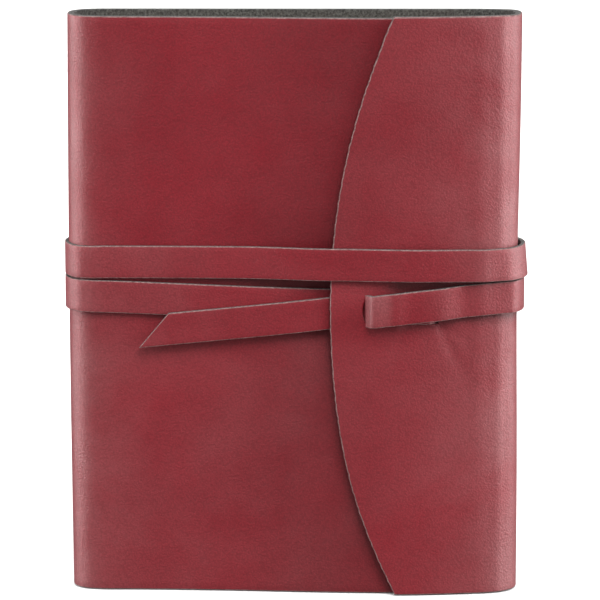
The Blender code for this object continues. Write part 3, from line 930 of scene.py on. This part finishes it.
def build_strap():
    """Both turns of the strap, divided where the leather under them hinges."""
    first = first_turn()
    spine_left = (SPINE_LEFT[0] - STRAP_OUT, SPINE_LEFT[1])
    fold_right = (FOLD_RIGHT[0] + STRAP_OUT, FOLD_RIGHT[1])
    fold_back = (FOLD_BACK[0], FOLD_BACK[1] + STRAP_OUT)

    tip = first.near(FLAP_TIP_X, cover_y(FLAP_TIP_X, LOWER_FLAP_Z))
    spine = first.near(*spine_left)
    back = first.near(*fold_back)
    side = first.near(fold_right[0] + UPPER_SLACK, fold_right[1])
    anchor = add_strap("strap_anchor_weave", first, 0.0, tip, "strap_anchor", cut_start=True)
    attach(anchor, "wrap_flap")
    left = add_strap("strap_lower_left", first, tip, spine, "strap_lower_front")
    bend(left)
    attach(add_strap("strap_lower_behind", first, spine, back, "strap_lower_back"), "book")
    bend(add_strap("strap_upper_round", first, back, side, "strap_upper_fold", lift=upper_flare))

    second = second_turn()
    start = second.near(fold_right[0] + UPPER_SLACK, fold_right[1])
    on = {"grain_shift": side - start}
    tip = second.near(FLAP_TIP_X, flap_y(FLAP_TIP_X, UPPER_Z))
    spine = second.near(*spine_left)
    later = second.along > second.near(0.0, BACK_Y + 2 * STRAP_OUT)

    def near_after(x, y):
        """Distance of the point nearest (x, y) on the second half of the turn."""
        gap = np.hypot(second.points[:, 0] - x, second.points[:, 1] - y)
        return second.along[np.where(later, gap, 1.0).argmin()]

    back = near_after(*fold_back)
    side = near_after(*fold_right)
    slit = near_after(LOOSE_END_X, cover_y(LOOSE_END_X, tail_z(LOOSE_END_X), 1.35))
    end = near_after(CUT_MID_X, cover_y(CUT_MID_X, tail_z(CUT_MID_X), 1.0))
    bend(add_strap("strap_upper_right", second, start, tip, "strap_upper_flap",
                   lift=upper_flare, **on))
    bend(add_strap("strap_upper_left", second, tip, spine, "strap_upper_front", **on))
    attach(add_strap("strap_upper_behind", second, spine, back, "strap_upper_back", **on), "book")
    bend(add_strap("strap_tail_round", second, back, side, "strap_tail_fold", **on))
    bend(add_strap("strap_tail_run", second, side, slit, "strap_tail", tail_wear, **on))

    slant = (CUT_BOTTOM_X - CUT_TOP_X) / STRAP_WIDTH

    def cut(z):
        return end + slant * z

    free = add_strap("strap_loose_end", second, slit, end, "strap_free_end", cut_end=True,
                     end_at=cut, **on)
    bend(free)


# ---------------------------------------------------------------- pages

SIGNATURES = 6
LEAVES = 10                       # in one signature
FLYLEAF_LEAVES = 2
LEAF_UNEVENNESS = 0.22 * MM       # how far a leaf can fall short of its neighbours
LEAF_FILL = 0.86                  # a leaf's share of the room for it, the rest being air
FOLD_ROUNDNESS = 0.05 * MM        # how far each leaf's fold sits in from its neighbour's
BOX_FACES = ((0, 2, 3, 1), (4, 5, 7, 6), (0, 1, 5, 4), (2, 6, 7, 3), (0, 4, 6, 2), (1, 3, 7, 5))


def leaf_stack(name, low, high, leaves, material, seed):
    """A stack of thin leaves between two corners, each a hair out of line."""
    random = np.random.default_rng(seed)
    pitch = (high[1] - low[1]) / leaves
    vertices = []
    faces = []
    for i in range(leaves):
        short, up, down = random.uniform(0.0, 1.0, 3) * LEAF_UNEVENNESS
        x0, x1 = low[0] + FOLD_ROUNDNESS * abs(i - leaves / 2), high[0] - short
        z0, z1 = low[2] + down, high[2] - up
        y0 = low[1] + i * pitch
        y1 = y0 + pitch * LEAF_FILL
        base = len(vertices)
        vertices += [(x, y, z) for z in (z0, z1) for y in (y0, y1) for x in (x0, x1)]
        faces += [tuple(base + v for v in quad) for quad in BOX_FACES]
    mesh = bpy.data.meshes.new(name)
    mesh.from_pydata(vertices, [], faces)
    mesh.materials.append(material)
    obj = bpy.data.objects.new(name, mesh)
    bpy.context.scene.collection.objects.link(obj)
    return obj


def build_pages():
    """The sewn signatures and the two flyleaves."""
    cream = paper("page_paper", (0.80, 0.735, 0.60))
    for index in range(1, SIGNATURES + 1):
        node = f"signature_{index}"
        low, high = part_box(node)
        stack = leaf_stack(f"{node}_leaves", low, high, LEAVES, cream, index)
        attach(stack, "turned_pages" if index == 1 else "book")
        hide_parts(node)
    for node, body in (("front_flyleaf", "turned_pages"), ("back_flyleaf", "book")):
        low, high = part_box(node)
        leaf = leaf_stack(f"{node}_sheet", low, high, FLYLEAF_LEAVES, cream, 20 + len(node))
        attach(leaf, body)
        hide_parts(node)


def dress_sewing():
    """Cloth and thread looks for the CAD's own liner, tapes and stitches."""
    mull = woven("mull", (0.72, 0.69, 0.61), 0.5 * MM)
    tape = woven("tape", (0.66, 0.62, 0.52), 0.35 * MM)
    thread = woven("thread", (0.62, 0.55, 0.42), 0.2 * MM)
    looks = {"spine_liner": mull, "kettle_stitch_head": thread, "kettle_stitch_tail": thread}
    for index in range(1, 4):
        looks[f"sewing_tape_{index}"] = tape
    for node, material in looks.items():
        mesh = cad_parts[node].data
        mesh.materials.clear()
        mesh.materials.append(material)


# ---------------------------------------------------------------- studio

CAMERA_TARGET = Vector((0.0010, -0.0070, 0.0782))
CAMERA_DISTANCE = 1.173
CAMERA_ELEVATION = radians(13.25)
CAMERA_AZIMUTH = radians(0.19)
CAMERA_LENS = 265.9               # mm, on a 36 mm square sensor


def build_camera():
    """A long lens a little above the book, square on to its front."""
    camera = bpy.data.objects.new("camera", bpy.data.cameras.new("camera"))
    back = Vector((sin(CAMERA_AZIMUTH) * cos(CAMERA_ELEVATION),
                   -cos(CAMERA_AZIMUTH) * cos(CAMERA_ELEVATION), sin(CAMERA_ELEVATION)))
    camera.location = CAMERA_TARGET + back * CAMERA_DISTANCE
    camera.rotation_mode = "QUATERNION"
    camera.rotation_quaternion = (-back).to_track_quat("-Z", "Y")
    camera.data.sensor_width = 36.0
    camera.data.lens = CAMERA_LENS
    camera.data.clip_start = 0.01
    bpy.context.scene.collection.objects.link(camera)
    bpy.context.scene.camera = camera


def add_soft_light(name, place, target, size, power, shine_only=False):
    """A softbox aimed at a point, or only the shine of one."""
    lamp = bpy.data.lights.new(name, "AREA")
    lamp.shape = "RECTANGLE"
    lamp.size, lamp.size_y = size
    lamp.energy = power
    light = bpy.data.objects.new(name, lamp)
    light.location = place
    light.rotation_mode = "QUATERNION"
    light.rotation_quaternion = (Vector(target) - Vector(place)).to_track_quat("-Z", "Y")
    light.visible_diffuse = not shine_only
    bpy.context.scene.collection.objects.link(light)


FLOOR_REACH = 12.0
FLOOR_DROP = 0.3 * MM             # below the book's lower edge
AMBIENT = 0.20
OVERHEAD = 0.34
FLOOR_LIGHT = 2.2
KEY = 1.95
BACK_FILL = 0.8
SIDE_FILL = 3.0
LEFT_SHINE = 9.2
RIGHT_SHINE = 9.8


def build_surroundings():
    """Dim surroundings, brighter overhead, that look plain white themselves."""
    world = bpy.data.worlds.new("studio")
    bpy.context.scene.world = world
    world.use_nodes = True
    tree = world.node_tree
    where = tree.nodes.new("ShaderNodeTexCoord")
    split = tree.nodes.new("ShaderNodeSeparateXYZ")
    tree.links.new(where.outputs["Generated"], split.inputs["Vector"])
    level = tree.nodes.new("ShaderNodeMapRange")
    level.inputs["From Min"].default_value = 0.0
    level.inputs["From Max"].default_value = 1.0
    level.inputs["To Min"].default_value = AMBIENT
    level.inputs["To Max"].default_value = AMBIENT + OVERHEAD
    tree.links.new(split.outputs["Z"], level.inputs["Value"])
    seen = tree.nodes.new("ShaderNodeMix")
    seen.inputs["B"].default_value = 1.0
    path = tree.nodes.new("ShaderNodeLightPath")
    tree.links.new(path.outputs["Is Camera Ray"], seen.inputs["Factor"])
    tree.links.new(level.outputs["Result"], seen.inputs["A"])
    tree.links.new(seen.outputs["Result"], tree.nodes["Background"].inputs["Strength"])
    tree.nodes["Background"].inputs["Color"].default_value = (1.0, 1.0, 1.0, 1.0)


def build_floor():
    """A plain pale floor with its own even light, so that it stays white behind the book."""
    mesh = bpy.data.meshes.new("floor")
    r = FLOOR_REACH
    mesh.from_pydata([(-r, -r, 0), (r, -r, 0), (r, r, 0), (-r, r, 0)], [], [(0, 1, 2, 3)])
    floor = bpy.data.objects.new("floor", mesh)
    floor.location.z = -FLOOR_DROP
    s = Shader("floor_paint")
    tone = s.ramp(s.noise(s.coordinates("Object"), 3.0), 0.3, 0.7)
    s.link(s.mix(tone, (0.92, 0.92, 0.92), (0.94, 0.94, 0.94)), s.main.inputs["Base Color"])
    s.main.inputs["Roughness"].default_value = 0.9
    s.main.inputs["Specular IOR Level"].default_value = 0.1
    mesh.materials.append(s.material)
    floor.visible_diffuse = False
    floor.visible_glossy = False
    bpy.context.scene.collection.objects.link(floor)
    lit = bpy.data.collections.new("lit_by_floor_light")
    lit.objects.link(floor)
    light = add_sun("floor_light", FLOOR_LIGHT, azimuth=0.0, elevation=80.0, spread=160.0)
    light.light_linking.receiver_collection = lit


def add_sun(name, energy, azimuth, elevation, spread):
    """A distant soft light, azimuth 0 in front of the book and 90 on its right, in degrees."""
    sun = bpy.data.lights.new(name, "SUN")
    sun.energy = energy
    sun.angle = radians(spread)
    light = bpy.data.objects.new(name, sun)
    a, e = radians(azimuth), radians(elevation)
    towards = Vector((sin(a) * cos(e), -cos(a) * cos(e), sin(e)))
    light.rotation_mode = "QUATERNION"
    light.rotation_quaternion = towards.to_track_quat("Z", "Y")
    bpy.context.scene.collection.objects.link(light)
    return light


def build_studio():
    """Surroundings, floor, a soft key from above the camera, a fill behind, side softboxes.

    Each side has a weak softbox, and one that adds only shine to the leather's bends.
    """
    build_surroundings()
    build_floor()
    add_sun("key", KEY, azimuth=24.0, elevation=52.0, spread=34.0)
    add_sun("back_fill", BACK_FILL, azimuth=190.0, elevation=35.0, spread=60.0)
    middle = (0.0, 0.0, HEIGHT / 2)
    left = (-0.60, -0.10, 0.16)
    right = (0.60, -0.16, 0.16)
    left_back = (-0.60, -0.08, 0.16)
    right_back = (0.60, -0.10, 0.16)
    add_soft_light("left_softbox", left, middle, (0.50, 0.7), SIDE_FILL)
    add_soft_light("left_shine", left_back, middle, (0.56, 0.7), LEFT_SHINE, shine_only=True)
    add_soft_light("right_softbox", right, middle, (0.60, 0.7), SIDE_FILL)
    add_soft_light("right_shine", right_back, middle, (0.68, 0.7), RIGHT_SHINE, shine_only=True)
    bpy.context.scene.view_settings.view_transform = "Standard"


build_wrap()
build_strap()
build_pages()
dress_sewing()
build_camera()
build_studio()
